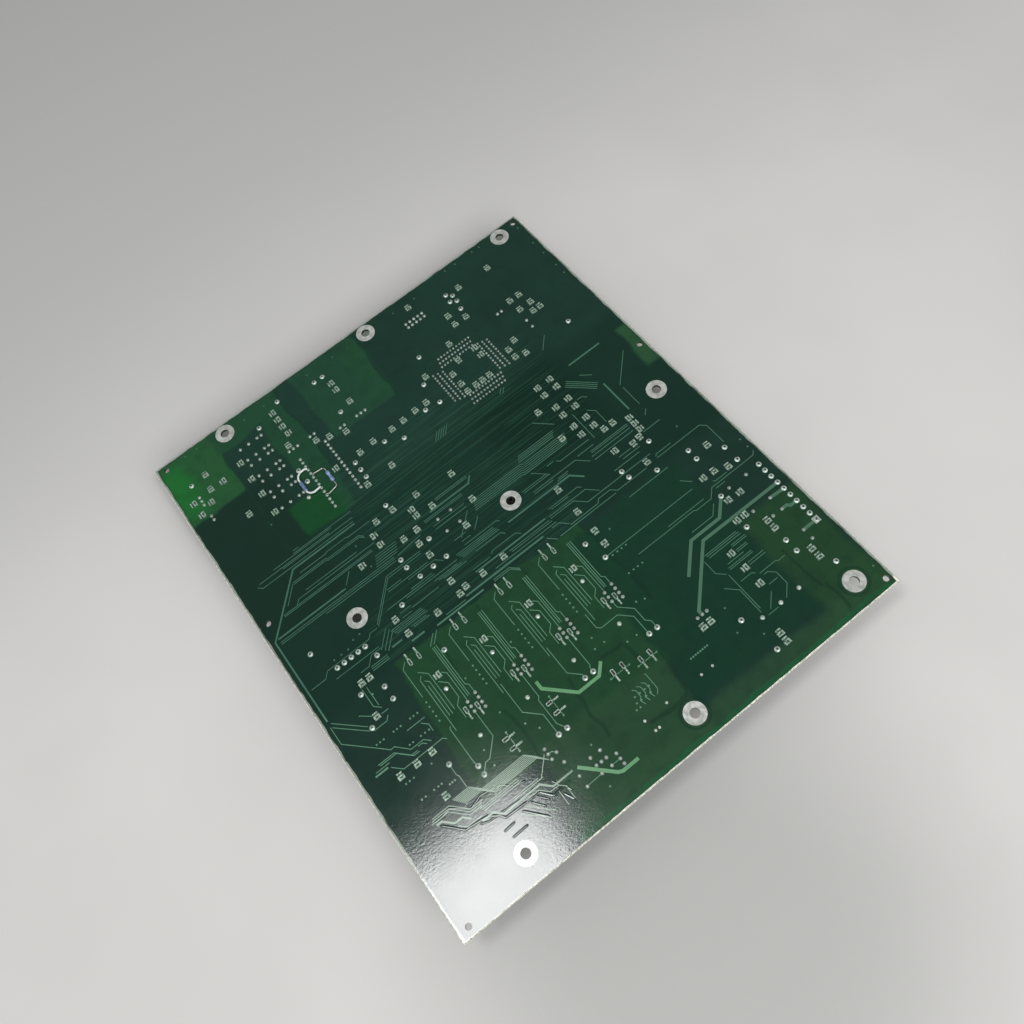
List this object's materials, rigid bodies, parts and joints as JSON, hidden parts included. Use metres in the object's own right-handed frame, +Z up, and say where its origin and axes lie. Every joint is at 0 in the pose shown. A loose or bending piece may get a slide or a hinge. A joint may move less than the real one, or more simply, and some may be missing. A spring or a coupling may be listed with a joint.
{
  "type": "processor control board",
  "caption": "Large control circuit board lying solder side up on its tall parts, with mounting holes, rows of solder joints, chip parts and two added resistors.",
  "frame": {"origin": "middle of the board's outline, on the surface that the tall parts stand on", "axes": "+Z up out of the solder side, +Y along the board's longer side, +X along its shorter side"},
  "size_m": [0.23, 0.27, 0.029],
  "materials": {
    "laminate": "green masked glass laminate",
    "bare_land": "dull tinned copper",
    "masked_copper": "copper under green mask",
    "masked_wide_copper": "wide copper under green mask",
    "solder": "bright solder",
    "cut_lead": "cut lead end",
    "tinned_lead": "tinned wire",
    "chip_body": "dark chip",
    "black_package": "black moulded package",
    "resistor_blue": "blue lacquer",
    "resistor_pale_blue": "pale blue lacquer",
    "lead_sleeve": "grey sleeving",
    "black_anodised": "black anodised",
    "tab_metal": "tinned tab",
    "relay_plastic": "cream plastic",
    "socket_plastic": "black plastic",
    "header_nylon": "natural nylon",
    "gilt_post": "plated post",
    "can_sleeve": "dark blue sleeve",
    "can_top": "bare aluminium",
    "film_case": "dark red case",
    "choke_case": "green lacquer",
    "can_metal": "nickel plated can"
  },
  "bodies": {
    "root": {"board": "laminate", "hole_lands": "bare_land", "test_lands": "bare_land", "via_lands": "masked_copper", "signal_tracks": "masked_copper", "supply_tracks": "masked_copper", "power_tracks": "masked_wide_copper", "lead_joints": "solder", "pin_joints": "solder", "socket_joints": "solder", "sink_joints": "solder", "component_leads": "cut_lead", "component_pins": "tinned_lead", "socket_pins": "tinned_lead", "sink_pins": "tinned_lead", "chip_bodies": "chip_body", "chip_ends": "solder", "diode_bodies": "black_package", "diode_ends": "solder", "sleeved_resistor": "resistor_blue", "sleeved_leads": "lead_sleeve", "bare_resistor": "resistor_pale_blue", "bare_leads": "tinned_lead", "heat_sinks": "black_anodised", "amplifier_bodies": "black_package", "amplifier_tabs": "tab_metal", "amplifier_leads": "tinned_lead", "relays": "relay_plastic", "processor_socket": "socket_plastic", "processor": "black_package", "memory_socket": "socket_plastic", "memory_chip": "black_package", "debug_header": "socket_plastic", "power_header": "header_nylon", "signal_header": "header_nylon", "output_headers": "header_nylon", "jumper_bases": "socket_plastic", "header_posts": "gilt_post", "regulator_body": "black_package", "regulator_tab": "tab_metal", "regulator_leads": "tinned_lead", "capacitor_sleeves": "can_sleeve", "capacitor_tops": "can_top", "film_capacitors": "film_case", "choke_bodies": "choke_case", "choke_leads": "tinned_lead", "crystal": "can_metal", "oscillator": "can_metal", "logic_packages": "black_package", "logic_leads": "tinned_lead", "test_posts": "gilt_post"}
  },
  "joints": []
}
